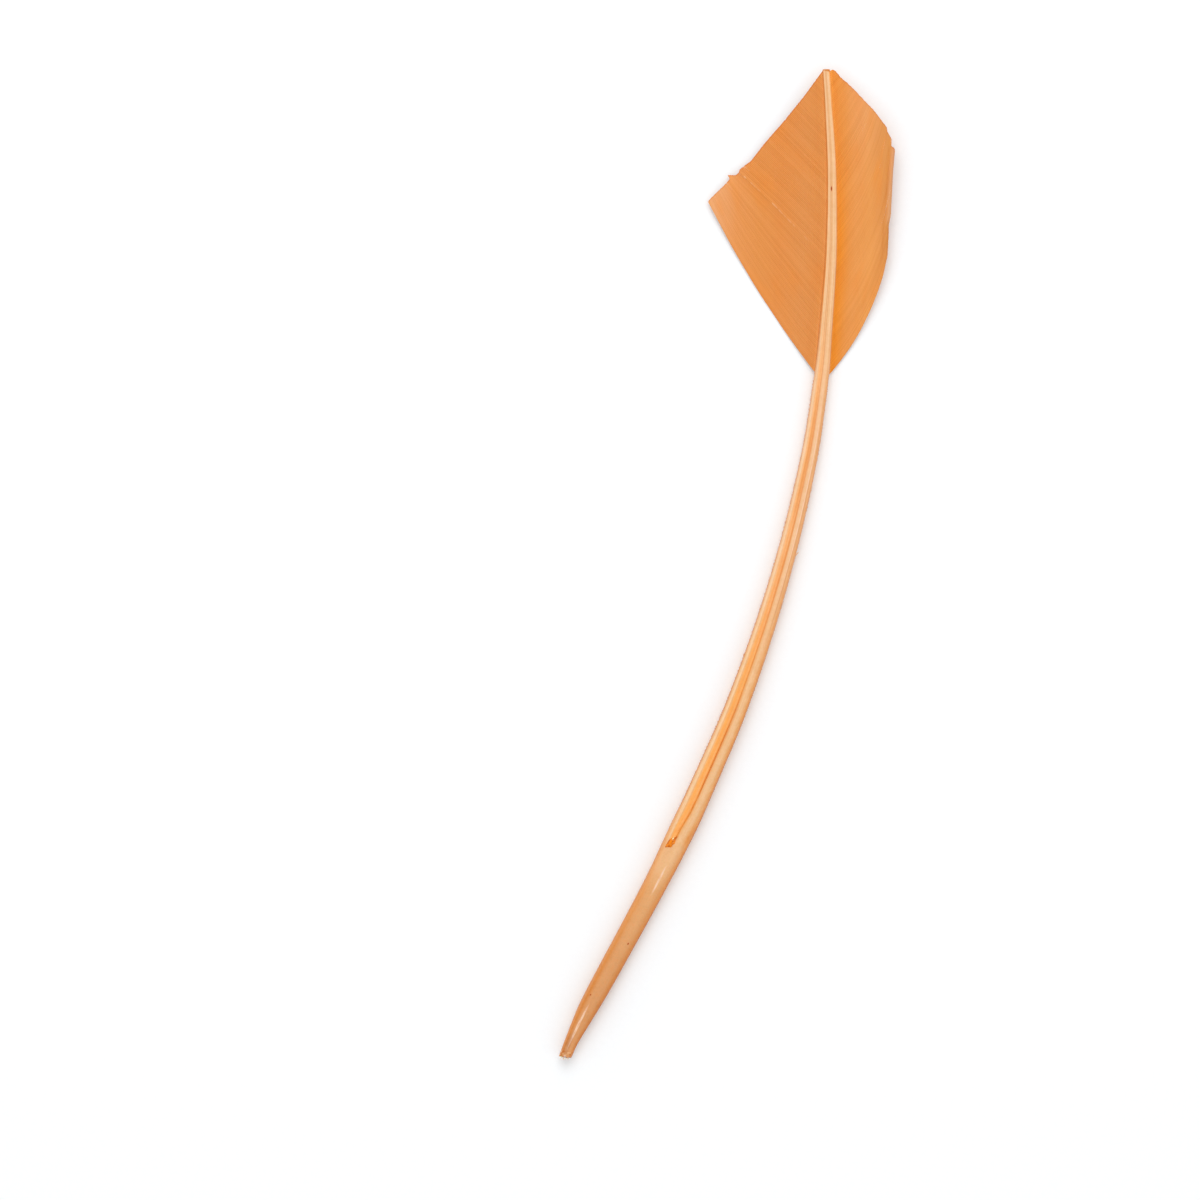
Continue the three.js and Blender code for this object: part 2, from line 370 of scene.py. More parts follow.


# Dyes, as screen colours under the studio light; some also paint light and shade, as noted where they
# are used.
IVORY = colour(236, 196, 152)
CREAM = colour(230, 184, 136)
PALE = colour(226, 173, 118)
SAND = colour(218, 161, 106)
TAN = colour(211, 151, 100)
APRICOT = colour(226, 158, 94)
ORANGE = colour(243, 166, 86)
GOLD = colour(245, 178, 106)
AMBER = colour(218, 134, 54)
RUST = colour(205, 124, 50)
BROWN = colour(182, 90, 16)
FLECK = colour(168, 58, 0)
FLESH = colour(240, 204, 176)
UMBER = colour(150, 90, 60)
# VIVID and the next tint paint the narrow vane's sheen: saturated where none lies, paler where it does.
VIVID = colour(240, 146, 20)
PAINTED_SHEEN = colour(232, 166, 116)
DEEP_DYE = colour(230, 138, 58)
# Painted highlight on the barbs beside a split.
SPLIT_HIGHLIGHT_TINT = colour(246, 196, 150)


def marks(shader, along, across, rows):
    """1 inside the oval marks of the rows, fading to 0 round them."""
    total = 0.0
    for middle, place, half_length, half_width in rows:
        far = shader.math("DIVIDE", shader.math("SUBTRACT", along, middle), half_length)
        wide = shader.math("DIVIDE", shader.math("SUBTRACT", across, place), half_width)
        square = shader.math("MULTIPLY_ADD", far, far, shader.times(wide, wide))
        total = shader.math("MAXIMUM", shader.span(square, 1.2, 0.2), total)
    return total


def horn_fibres(shader, fineness, per_mm, detail, rough=0.55):
    """Noise drawn out along the shaft, on all its sides."""
    across, up = shader.values("across", "up")
    sideways, upwards = (shader.times(x, fineness) for x in (across, up))
    onwards = shader.times(shader.value("along"), per_mm)
    return shader.noise(shader.vector(sideways, upwards, onwards), 1.0, detail, rough)


def quill_bands(shader, place):
    """Tints across the round quill, evenly tan at its end and paler at its top."""
    along, across, up = shader.values("along", "across", "up")
    quill_end = shader.ramp(place, (
        (0.0, BROWN), (0.07, BROWN), (0.15, RUST), (0.34, TAN), (0.72, TAN), (0.92, RUST),
        (1.0, BROWN),
    ))
    quill_top = shader.ramp(place, (
        (0.0, BROWN), (0.06, RUST), (0.12, APRICOT), (0.3, SAND), (0.6, PALE), (0.78, SAND),
        (0.87, APRICOT), (0.95, AMBER), (1.0, BROWN),
    ))
    tint = shader.mix(shader.span(along, 16, 62), quill_end, quill_top)
    neck = shader.times(shader.span(along, 45, 57, 0.0, 0.42), shader.span(up, 0.1, 0.6))
    neck = shader.times(neck, shader.span(across, 0.9, 0.3))
    return shader.mix(neck, tint, IVORY)


def bare_bands(shader, place):
    """Tints across the grooved shaft where it has no barbs. Near the quill they lie aslant. The ivory
    band on the left ridge is partly a painted highlight, and the amber line at the bottom of the groove
    is partly painted shade.
    """
    along, across, up = shader.values("along", "across", "up")
    aslant = shader.times(shader.span(along, 72, 60, 0.0, 0.115), shader.span(up, 0.5, 0.8))
    aslant = shader.times(aslant, shader.span(across, -0.7, -0.35))
    # Ivory at 0.11 to 0.16 is partly a painted highlight on the left ridge; amber at 0.48 to 0.5 is
    # partly painted shade in the groove.
    return shader.ramp(shader.math("ADD", place, aslant), (
        (0.0, BROWN), (0.03, APRICOT), (0.075, CREAM), (0.11, IVORY), (0.16, IVORY), (0.2, PALE),
        (0.28, ORANGE), (0.36, ORANGE), (0.4, GOLD), (0.45, ORANGE), (0.48, AMBER), (0.5, AMBER),
        (0.52, APRICOT), (0.56, PALE), (0.64, CREAM), (0.74, CREAM), (0.82, PALE), (0.89, APRICOT),
        (0.95, AMBER), (1.0, BROWN),
    ))


def vaned_bands(shader, place):
    """Tints across the shaft between the vanes. The ivory lines on its ridges are partly painted
    highlights.
    """
    along = shader.value("along")
    lower = shader.span(along, 200, 235, 0.88, 1.0)
    stretch = shader.times(lower, shader.span(along, 245, 262, 1.0, 1.14))
    # Ivory at 0.19, 0.27, 0.68 and 0.78 is partly painted highlight on the ridges.
    return shader.ramp(shader.times(place, stretch), (
        (0.0, RUST), (0.08, AMBER), (0.13, CREAM), (0.19, IVORY), (0.23, PALE), (0.27, IVORY),
        (0.31, CREAM), (0.35, TAN), (0.39, CREAM), (0.43, PALE), (0.46, TAN), (0.5, CREAM),
        (0.55, PALE), (0.6, CREAM), (0.68, IVORY), (0.74, PALE), (0.78, IVORY), (0.89, CREAM),
        (0.955, ORANGE), (1.0, ORANGE),
    ))


def horn_bands(shader, place):
    """Tints of the whole shaft: across its top from the quill to the tip, and evenly below."""
    along, across, up = shader.values("along", "across", "up")
    tint = shader.mix(shader.span(along, 60, 63), quill_bands(shader, place), bare_bands(shader, place))
    tint = shader.mix(shader.span(along, 100, 150, 0.0, 0.22), tint, FLESH)
    right = shader.times(shader.span(across, 0.3, 0.46), shader.span(along, 95, 118))
    tint = shader.mix(shader.times(right, 0.32), tint, APRICOT)
    left = shader.times(shader.span(across, -0.66, -0.8), shader.span(along, 76, 62))
    tint = shader.mix(shader.times(left, 0.6), tint, APRICOT)
    tint = shader.mix(shader.span(along, 182, 210), tint, vaned_bands(shader, place))
    below = shader.mix(shader.span(along, 30, 64), TAN, APRICOT)
    return shader.mix(shader.span(up, 0.3, -0.45), tint, below)


def horn_lines(shader, tint, place):
    """Fine pale and dark lines, strongest on the grooved part, and dashes in its pale bands."""
    along, up = shader.values("along", "up")
    fine_lines = horn_fibres(shader, 32.0, 0.035, 3.0)
    grooved = shader.span(along, 58, 70, 0.04, 0.34)
    light = shader.times(shader.span(fine_lines, 0.55, 0.68), grooved)
    tint = shader.mix(light, tint, IVORY)
    dark = shader.times(shader.span(fine_lines, 0.45, 0.32), grooved)
    tint = shader.mix(dark, tint, APRICOT)
    pale_bands = shader.math("MAXIMUM", shader.span(place, 0.26, 0.16), shader.span(place, 0.5, 0.6))
    pale_bands = shader.times(pale_bands, shader.span(along, 60, 70, 0.0, 0.55))
    pale_bands = shader.times(pale_bands, shader.span(up, 0.25, 0.5))
    dashes = shader.span(horn_fibres(shader, 22.0, 0.7, 2.0), 0.58, 0.68)
    return shader.mix(shader.times(dashes, pale_bands), tint, IVORY)


def horn_mottle(shader, tint, lines, mottle):
    """Uneven brightness all over, and rust blotches on the round quill."""
    along = shader.value("along")
    clouds = shader.noise(shader.node("TexCoord").outputs["Object"], 260.0, 3.0)
    tint = shader.brighten(tint, lines, 0.08)
    tint = shader.brighten(tint, clouds, 0.08)
    grained = shader.math("SUBTRACT", shader.span(mottle, 0.36, 0.64), 0.5)
    grained = shader.math("MULTIPLY_ADD", grained, shader.span(along, 50, 72, 1.0, 0.4), 0.5)
    tint = shader.brighten(tint, grained, 0.08)
    blotches = shader.times(shader.span(mottle, 0.48, 0.62), shader.span(along, 64, 50))
    return shader.mix(shader.times(blotches, 0.30), tint, RUST)


def horn_marks(shader, tint):
    """The single streaks and flecks. The first pale streak is partly a painted highlight."""
    along, across, up = shader.values("along", "across", "up")
    # The first pale streak paints a highlight along the quill end, broken up by noise.
    broken = shader.span(horn_fibres(shader, 5.0, 0.55, 2.0), 0.36, 0.56, 0.35, 0.85)
    pale = shader.times(marks(shader, along, across, PALE_STREAKS_AND_HIGHLIGHT), broken)
    tint = shader.mix(shader.times(pale, shader.span(up, 0.0, 0.3)), tint, FLESH)
    for rows, strength, dye in (
        (TAN_STREAKS, 0.7, TAN), (AMBER_STREAKS, 0.45, AMBER), (DULL_END, 0.3, UMBER),
    ):
        share = shader.times(marks(shader, along, across, rows), strength)
        tint = shader.mix(share, tint, dye)
    return shader.mix(marks(shader, along, across, DARK_FLECKS), tint, FLECK)


def horn_ends(shader, tint, mottle):
    """Dark and pale scraps at the frayed quill end, and the darker edge of the cut tip."""
    along = shader.value("along")
    frayed = shader.span(along, 3.2, 0.8)
    scraps = shader.times(frayed, shader.span(mottle, 0.46, 0.36))
    tint = shader.mix(scraps, tint, BROWN)
    scraps = shader.times(frayed, shader.span(mottle, 0.54, 0.64))
    tint = shader.mix(scraps, tint, IVORY)
    return shader.mix(shader.span(along, TIP_END - 0.6, TIP_END - 0.15), tint, RUST)


def quill_and_shaft_material():
    """Horn: round and evenly tan at the quill, then banded lengthwise by the groove."""
    shader = Shader(
        "dyed_keratin", Subsurface_Weight=0.06, Subsurface_Scale=0.0005, IOR=1.54,
        Subsurface_Radius=(1.0, 0.45, 0.15), Specular_IOR_Level=0.28,
        Specular_Tint=colour(255, 214, 176),
    )
    lines = horn_fibres(shader, 9.0, 0.05, 5.0, 0.6)
    waver = shader.math("MULTIPLY_ADD", lines, 0.05, 0.475)
    place = shader.math("MULTIPLY_ADD", shader.value("across"), 0.5, waver)
    mottle = shader.noise(shader.node("TexCoord").outputs["Object"], 1100.0, 4.0, 0.65)
    tint = horn_bands(shader, place)
    tint = horn_lines(shader, tint, place)
    tint = horn_mottle(shader, tint, lines, mottle)
    tint = horn_marks(shader, tint)
    tint = horn_ends(shader, tint, mottle)
    roughness = shader.span(lines, 0.3, 0.7, 0.30, 0.46)
    return shader.finish(tint, roughness, horn_fibres(shader, 30.0, 0.8, 4.0), 0.00003, 0.5)


def barb_tint_and_painted_light(shader, bands, vivid):
    """The tint by the distance from the shaft in millimetres: the dye, and right beside the shaft
    painted light against the shaft's shade. "vivid" may give how far from the shaft it is vivid,
    the two barbs between which that ends, how strong it is, and how strong the paler painted sheen
    away from the shaft is beyond those barbs. The vivid strip paints the vane where it has no sheen."""
    away, order = shader.values("away", "order")
    reach = bands[-1][0]
    tint = shader.ramp(
        shader.math("DIVIDE", away, reach), [(at / reach, colour(*tone)) for at, tone in bands]
    )
    # Painted light right beside the shaft, against the shade it casts on the vane.
    at_shaft = colour(*bands[0][1])
    by_shaft = shader.span(away, 0.6, 0.0, 0.0, 0.6)
    if vivid is None:
        return shader.mix(by_shaft, tint, at_shaft)
    vivid_depth, low, high, strength, sheen_share = vivid
    # Painted sheen: a saturated strip beside the shaft on the lower barbs, where no sheen lies, and a
    # paler patch farther out on the upper barbs, where it does.
    strip = shader.times(shader.span(away, vivid_depth, 0), shader.span(order, high, low))
    tint = shader.mix(shader.times(strip, strength), tint, VIVID)
    tint = shader.mix(by_shaft, tint, at_shaft)
    patch = shader.times(shader.span(away, 3, 9), shader.span(order, low, high))
    return shader.mix(shader.times(patch, sheen_share), tint, PAINTED_SHEEN)


def barb_painted_light_and_rims(shader, tint):
    """Painted highlight on the barbs beside the splits, paler ridges, painted light and shade at the
    narrow vane's margin, and the darker rim.
    """
    along, order = shader.values("along", "order")
    # Painted highlight on the first barb beyond a split, broken up by noise.
    gaps = shader.noise(
        shader.vector(shader.times(along, 0.55), shader.times(order, 0.4)), 1.0, 2.0
    )
    split_highlight = shader.times(shader.value("split_highlight"), shader.span(gaps, 0.42, 0.62))
    tint = shader.mix(shader.times(split_highlight, SPLIT_HIGHLIGHT_STRENGTH), tint, SPLIT_HIGHLIGHT_TINT)
    middle = shader.math("ABSOLUTE", shader.value("across"))
    tint = shader.brighten(tint, shader.span(middle, 0.9, 0.0), 0.14)
    # Painted light on the lifted margin strip, and painted shade in the crease along its inside.
    tint = shader.mix(shader.times(shader.value("strip"), 0.28), tint, FLESH)
    tint = shader.mix(shader.times(shader.value("crease"), 0.13), tint, BROWN)
    tint = shader.mix(shader.times(shader.value("brim"), 0.25), tint, UMBER)
    first_barb = shader.span(order, 1.3, 0.2, 0.0, 0.25)
    rim = shader.math("MAXIMUM", shader.span(shader.value("from_end"), 0.45, 0.1), first_barb)
    return shader.mix(shader.times(rim, 0.32), tint, AMBER, "MULTIPLY")


def barb_material(name, bands, vivid=None):
    """Barbs with their barbules, dyed in bands with painted light and shade in them, and varied by lock
    and by barb.
    """
    shader = Shader(
        name, Subsurface_Weight=0.08, Subsurface_Scale=0.0005, IOR=1.5,
        Subsurface_Radius=(1.0, 0.45, 0.12), Specular_Tint=colour(255, 190, 130),
    )
    along, order = shader.values("along", "order")
    tint = barb_tint_and_painted_light(shader, bands, vivid)
    locks = shader.noise(
        shader.vector(shader.times(order, 0.2), shader.times(along, 0.03)), 1.0, 4.0, 0.62
    )
    dye = shader.noise(
        shader.vector(shader.times(order, 0.035), shader.times(along, 0.06)), 1.0, 2.0
    )
    tint = shader.mix(shader.span(dye, 0.45, 0.75, 0.0, 0.5), tint, DEEP_DYE)
    tint = shader.brighten(tint, locks, 0.06)
    tint = shader.brighten(tint, shader.value("tone"), 0.055)
    tint = barb_painted_light_and_rims(shader, tint)
    middle = shader.math("ABSOLUTE", shader.value("across"))
    slant = shader.math("MULTIPLY_ADD", middle, -BARB_HALF_WIDTH, along)
    barbules = shader.math("SINE", shader.times(slant, 2 * math.pi / BARBULE_PITCH))
    roughness = shader.span(locks, 0.3, 0.7, 0.44, 0.58)
    return shader.finish(tint, roughness, barbules, 0.000006, 0.6)


def plain_material(name, low, high, scale, roughness, bump=0.00003, **sockets):
    """A finish that wavers between two tints."""
    shader = Shader(name, Roughness=roughness, **sockets)
    place = shader.node("TexCoord").outputs["Object"]
    patches = shader.noise(place, scale, 4.0)
    tint = shader.mix(shader.span(patches, 0.35, 0.65), colour(*low), colour(*high))
    return shader.finish(tint, None, patches, bump, 0.5)


# ---- shaft -------------------------------------------

TOP_POINTS, BOTTOM_POINTS = 64, 28  # points round the shaft
AROUND = TOP_POINTS + BOTTOM_POINTS
SHAFT_STEPS = 420
WALL = 0.68  # inside of the open quill end, as a share of its outside
HOLLOW_STEPS = (7.0, 5.5, 4.0, 2.0, 0.8)  # rings of the hollow in the quill end
RIPPLE, FLUTE = 0.02, 0.018  # how far the horn is uneven, all over and in lengthwise lines
RAGGED, END_ASLANT = 0.45, 0.3  # how uneven and how slanting the cut quill end is
CUT_FACE = 0.9  # size of the rim of the cut tip, as a share of the shaft's


def round_angles():
    over = np.linspace(0, math.pi, TOP_POINTS, endpoint=False)
    under = np.linspace(math.pi, 2 * math.pi, BOTTOM_POINTS, endpoint=False)
    return np.concatenate([over, under])


def section_point(y, angle):
    """Place across and up, each from -1 to 1, of the shaft's outside at an angle."""
    power = 1 - SQUARENESS * ease(y, ROUND_QUILL_ENDS, GROOVE_FULL_FROM)
    across = np.sign(np.cos(angle)) * np.abs(np.cos(angle)) ** power
    up = np.sign(np.sin(angle)) * np.abs(np.sin(angle)) ** power
    return across, up


def on_shaft(y, across, up):
    """Points from places along the shaft, and millimetres across and up from its middle."""
    along = heading(y)
    x = bow(y) + across * along[..., 1]
    return np.stack([x, y - across * along[..., 0], underside(y) + depth(y) / 2 + up], -1)


def groove_depth(y, share):
    """How far the top is cut down at places across, as shares of the width from its middle."""
    middle, left, right, deep = (smooth(GROOVE, y, column) for column in (1, 2, 3, 4))
    offset = share - middle
    wall = np.where(offset < 0, 1 + offset / left, 1 - offset / right)
    crease = CREASE_DEPTH * np.exp(-((offset / CREASE_WIDTH) ** 2)) * ease(y, *CREASE_FADES[::-1])
    return (deep * ease(wall, 0, 1) + crease) * ease(y, ROUND_QUILL_ENDS, ROUND_QUILL_ENDS + 3)


def shaft_rings(y, scale=1.0, grooved=True):
    """Rings of points at each y, and their places across and up, from -1 to 1."""
    y = np.asarray(y, float)[:, None]
    places, heights = section_point(y, round_angles()[None, :])
    across, up = places * width(y) / 2 * scale, heights * depth(y) / 2 * scale
    if grooved:
        ripple = wave_noise(places.shape, (70, 22)) * RIPPLE
        flutes = wave_noise((1, AROUND), (1, 40), smallest=2) * FLUTE
        swell = ripple + flutes * ease(y, ROUND_QUILL_ENDS, ROUND_QUILL_ENDS + 8)
        over = np.where(heights > 0, groove_depth(y, across / width(y)), 0)
        across = across + swell * places
        up = up + np.maximum(swell, -0.01) * heights - over
    rings = on_shaft(np.broadcast_to(y, across.shape), across, up)
    shape = rings.shape[:2]
    return rings, np.broadcast_to(places, shape), np.broadcast_to(heights, shape)


def add_shaft(horn, inside, pith):
    """The quill, open and ragged at its end, and the grooved shaft to the cut tip."""
    angles = round_angles()
    steps = TIP_END * np.linspace(0, 1, SHAFT_STEPS)
    outside, inner = shaft_rings(steps), shaft_rings(HOLLOW_STEPS, WALL, grooved=False)
    rim = shaft_rings([0.0], WALL, grooved=False)
    tip = shaft_rings([TIP_END, TIP_END], CUT_FACE)
    ragged = RAGGED * np.abs(wave_noise((1, AROUND), (1, 17), smallest=2)[0])
    outside[0][0, :, 1] += ragged + END_ASLANT * np.cos(angles)
    outside[0][1, :, 1] += 0.6 * ragged + END_ASLANT / 2 * np.cos(angles)
    rim[0][0, :, 1] = outside[0][0, :, 1] + 0.1
    tip[0][:, :, 1] += 0.08
    tip[0][1] += 0.3 * (tip[0][0].mean(0) - tip[0][0])
    rings, places, heights = (np.concatenate(rows) for rows in zip(inner, rim, outside, tip))
    faces = grid_faces(1, len(rings), AROUND)
    slots = np.zeros(len(rings) - 1, int)
    slots[: len(HOLLOW_STEPS)] = 1
    slots[-2:] = 2
    slots = np.append(np.repeat(slots, AROUND), [1, 2])
    last = (len(rings) - 1) * AROUND
    faces.append(list(range(AROUND)))
    faces.append(list(range(last + AROUND - 1, last - 1, -1)))
    values = {"along": rings[..., 1], "across": places, "up": heights}
    add_piece("shaft", rings, faces, (horn, inside, pith), values, slots=slots, sharp=50)


def capped_faces(strips, rows, columns):
    """Faces of closed strips of rings with both ends capped, facing out."""
    faces = grid_faces(strips, rows, columns)
    for strip in range(strips):
        first = strip * rows * columns
        last = first + (rows - 1) * columns
        faces.append(list(range(first, first + columns)))
        faces.append(list(range(last + columns - 1, last - 1, -1)))
    return faces


def add_umbilicus(resin):
    """The resin-like drop where the round quill ends and the groove starts."""
    rings, around = 14, 64
    turns = np.linspace(0, 2 * math.pi, around, endpoint=False)
    rim = wave_noise((1, around + 1), (1, 13), smallest=2)[0][:-1]
    rim = 1 + UMBILICUS["unevenness"] * rim * np.sin(turns / 2) ** 0.3
    outward = np.append(1.0, np.sin(np.linspace(math.pi / 2, 0.04, rings)))[:, None]
    ripples = wave_noise((rings + 1, around), (5, 9)) * UMBILICUS["ripple"]
    seam = 8  # points on each side of the ring's start, over which the ripples fade to meet
    ripples[:, -seam:] *= np.linspace(1, 0, seam)
    ripples[:, :seam] *= np.linspace(0, 1, seam)
    up = UMBILICUS["height"] * np.sqrt(1 - np.minimum(outward, 1) ** 2) * (1 + ripples)
    up[0] = -UMBILICUS["skirt"]
    wide, tall = UMBILICUS["half_sizes"]
    right, ahead = wide * outward * rim * np.cos(turns), tall * outward * rim * np.sin(turns)
    turn = -math.radians(UMBILICUS["turn"])
    across = UMBILICUS["sideways"] + right * math.cos(turn) - ahead * math.sin(turn)
    y = UMBILICUS["along"] + right * math.sin(turn) + ahead * math.cos(turn)
    share = np.clip(across / (width(y) / 2), -0.98, 0.98)
    surface = depth(y) / 2 * np.sqrt(1 - share**2) - groove_depth(y, share / 2)
    points = on_shaft(y, across, surface + up - UMBILICUS["sunk"])
    add_piece("umbilicus", points, capped_faces(1, rings + 1, around), (resin,))


def add_umbilicus_glint(glint_flake):
    """A pale flake, like dry pith, that stands at the umbilicus's upper end as a painted glint on the
    drop.
    """
    y, across, up = UMBILICUS_GLINT["place"]
    start = on_shaft(np.array(y), across, up + depth(y) / 2)
    length, half_width, curl = (UMBILICUS_GLINT[key] for key in ("length", "half_width", "curl"))
    scale = flake(start, heading(np.array(y)), length, half_width, curl)
    add_flakes("umbilicus_glint", [scale], glint_flake)


def add_stubs(fibre):
    """Short pegs along both flanks of the bare shaft, where its barbs were stripped off."""
    sides, rows = 6, 4
    count = int((STUBS_TO - STUBS_FROM) / STUB_PITCH)
    angles = np.linspace(0, 2 * math.pi, sides, endpoint=False)
    flank_up = 2 * ROOT_HEIGHT - 1
    pegs = []
    for side in (-1, 1):
        y = STUBS_FROM + STUB_PITCH * (np.arange(count) + RANDOM.uniform(-0.3, 0.3, count))
        power = 1 - SQUARENESS * ease(y, ROUND_QUILL_ENDS, GROOVE_FULL_FROM)
        across, _ = section_point(y, np.arcsin(abs(flank_up) ** (1 / power)))
        base = on_shaft(y, side * (across * width(y) / 2 - STUB_ROOT), flank_up * depth(y) / 2)
        lean = heading(y) + side * np.stack([heading(y)[:, 1], -heading(y)[:, 0]], -1)
        lean = np.concatenate([lean / math.sqrt(2), RANDOM.uniform(-0.3, 0.3, (count, 1))], -1)
        reach = RANDOM.uniform(*STUB_LENGTH, count) + STUB_ROOT
        radius = STUB_RADIUS * RANDOM.uniform(0.75, 1.15, count)
        beside = np.stack([-lean[:, 1], lean[:, 0], np.zeros(count)], -1)
        above = np.array([0, 0, 1.0])
        for base_at, out, wide, far, thick in zip(base, lean, beside, reach, radius):
            for row in range(rows):
                share = row / (rows - 1)
                round_off = math.sqrt(max(0.06, 1 - share**3))
                centre = base_at + out * far * share
                ring = [
                    centre + thick * round_off * (math.cos(a) * wide + 1.5 * math.sin(a) * above)
                    for a in angles
                ]
                pegs.append(ring)
    RANDOM.uniform(0, 1, 2 * count)  # not used, but the pieces made after this one rely on it
    faces = [face[::-1] for face in capped_faces(2 * count, rows, sides)]
    add_piece("barb_stubs", np.array(pegs), faces, (fibre,))


def flake(start, direction, length, half_width, curl, thickness=0.05, rows=7):
    """A curling sliver as rings of four points, from its start in a direction in plan."""
    aim = np.array([*direction, 0.0]) / np.hypot(*direction)
    beside = np.array([-aim[1], aim[0], 0.0])
    above = np.array([0, 0, 1.0])
    rings = []
    for share in np.linspace(0, 1, rows):
        bend = curl * share
        if abs(curl) < 0.01:
            centre = start + aim * length * share
        else:
            centre = start + length / curl * (aim * math.sin(bend) + above * (1 - math.cos(bend)))
        normal = above * math.cos(bend) - aim * math.sin(bend)
        wide = half_width * math.sqrt(max(0.03, 1 - share**2)) * beside
        thick = thickness / 2 * normal
        rings.append([centre - wide - thick, centre + wide - thick,
                      centre + wide + thick, centre - wide + thick])
    return rings


def add_flakes(name, flakes, material):
    rings = np.array(flakes)
    add_piece(name, rings, capped_faces(len(flakes), rings.shape[1], 4), (material,), sharp=60)


def add_rim_membranes(membrane):
    """Curls of the quill's dry lining that stick out of its open end."""
    count = 11
    half_wide, half_deep = 1.6, 1.5  # of the quill at its end
    middle = QUILL_LIFT + 1.55  # height of the quill's middle there
    flakes = []
    for turn in np.linspace(0, 2 * math.pi, count, endpoint=False) + RANDOM.uniform(0, 0.4, count):
        radius = RANDOM.uniform(0.35, 0.8) * WALL
        x = math.cos(turn) * half_wide * radius
        z = math.sin(turn) * half_deep * radius
        start = np.array([x, RANDOM.uniform(0.2, 0.7), middle + z])
        direction = (RANDOM.uniform(-0.5, 0.5) + 0.5 * math.cos(turn), -1.0)
        length, half_width = RANDOM.uniform(1.0, 2.0), RANDOM.uniform(0.2, 0.42)
        curl = RANDOM.uniform(0.4, 2.2) * (1 if math.sin(turn) > 0 else -1)
        flakes.append(flake(start, direction, length, half_width, curl))
    add_flakes("quill_membranes", flakes, membrane)


def add_slivers(fibre):
    """Two slivers of horn that have lifted off the shaft's sides."""
    flakes = []
    for y, side, length in SLIVERS:
        y = np.array(y)
        start = on_shaft(y, side * (width(y) / 2 - 0.25), 0.1 * depth(y))
        direction = heading(y) * 0.9 + side * 0.45 * np.array([heading(y)[1], -heading(y)[0]])
        flakes.append(flake(start, direction, length, 0.16, 0.5, thickness=0.09))
    add_flakes("horn_slivers", flakes, fibre)


# ---- vanes -------------------------------------------

BARB_STEPS = 58
# Section of a barb: place across from -1 to 1, height over the vane's middle. The ridge is the
# barb's own shaft; the flat sides are its barbules, which overlap those of the next barb.
BARB_SECTION = (
    (-1.0, -0.005), (-0.34, 0.012), (0.0, 0.075), (0.34, 0.02),
    (1.0, 0.045), (1.0, 0.015), (0.0, -0.05), (-1.0, -0.035),
)
OVERLAP = 1.28  # width of a barb, as a share of the way to the next one
LEAST_SPACING = 0.06  # barbs that lie closer together than this are made this wide
FULL_SPACING = 0.42  # barbs that lie closer together than this are thinner
# How unevenly the barbs lie: share of the pitch by which a root is off, then in millimetres how
# much shorter some barbs are, how far they wander, and how far locks and single barbs stand up.
ROOT_OFF, SHORTER, WANDER, LOCK_LIFT, BARB_LIFT = 0.12, 0.1, 0.05, 0.07, 0.018


def along_edge(edge, share):
    """Points at shares of a polyline's length."""
    edge = np.asarray(edge)
    lengths = np.append(0, np.cumsum(np.hypot(*np.diff(edge, axis=0).T)))
    at = share * lengths[-1]
    return np.stack([np.interp(at, lengths, edge[:, k]) for k in (0, 1)], -1)


def barb_plans(vane, share):
    """Curves of the barbs in plan, from root to trimmed edge: (barbs, steps, 2)."""
    y = vane["foot"] + (vane["top"] - vane["foot"]) * share
    along = heading(y)
    inset = (vane["side"] * ROOT_INSET * width(y) / 2)[:, None]
    root = np.stack([bow(y), y], -1) + inset * np.stack([along[:, 1], -along[:, 0]], -1)
    end = along_edge(vane["edge"], smooth(vane["ends"], share))
    first, last = vane["root_angle"]
    angle = -vane["side"] * np.radians(first + (last - first) * share)
    reach = np.hypot(*(end - root).T) / 2
    turned = np.stack(
        [
            along[:, 0] * np.cos(angle) - along[:, 1] * np.sin(angle),
            along[:, 0] * np.sin(angle) + along[:, 1] * np.cos(angle),
        ],
        -1,
    )
    bend = root + reach[:, None] * turned
    t = np.linspace(0, 1, BARB_STEPS)[None, :, None]
    root, bend, end = root[:, None], bend[:, None], end[:, None]
    return (1 - t) ** 2 * root + 2 * t * (1 - t) * bend + t * t * end


def margin_strip(vane, x, y):
    """From 0 to 1, the strip along the narrow vane's margin, the crease along its inside and its
    outermost brim."""
    if vane["side"] < 0:
        return [np.zeros_like(x)] * 3
    margin = np.asarray([point[::-1] for point in vane["edge"]])
    margin = margin[margin[:, 0] <= MARGIN_STRIP["to"]]
    inside = np.interp(y, margin[:, 0], margin[:, 1]) - x
    wide = MARGIN_STRIP["width"]
    here = ease(y, MARGIN_STRIP["from"] - 4, MARGIN_STRIP["from"] + 4)
    here = here * ease(y, MARGIN_STRIP["to"] + 1, MARGIN_STRIP["to"] - 1)
    crease = np.exp(-(((inside - wide) / 0.3) ** 2))
    return here * ease(inside, wide, 0.2), here * crease, here * ease(inside, 0.6, 0.3)


def vane_height(vane, plan):
    """Height of the vane's middle at points in plan."""
    x, y = plan[..., 0], np.minimum(plan[..., 1], LENGTH)
    away = np.maximum(0, vane["side"] * (x - bow(y)))
    height = underside(y) + ROOT_HEIGHT * depth(y) + smooth(vane["rise"], away)
    strip, crease, _ = margin_strip(vane, x, y)
    return height + MARGIN_STRIP["lift"] * strip - MARGIN_STRIP["crease"] * crease


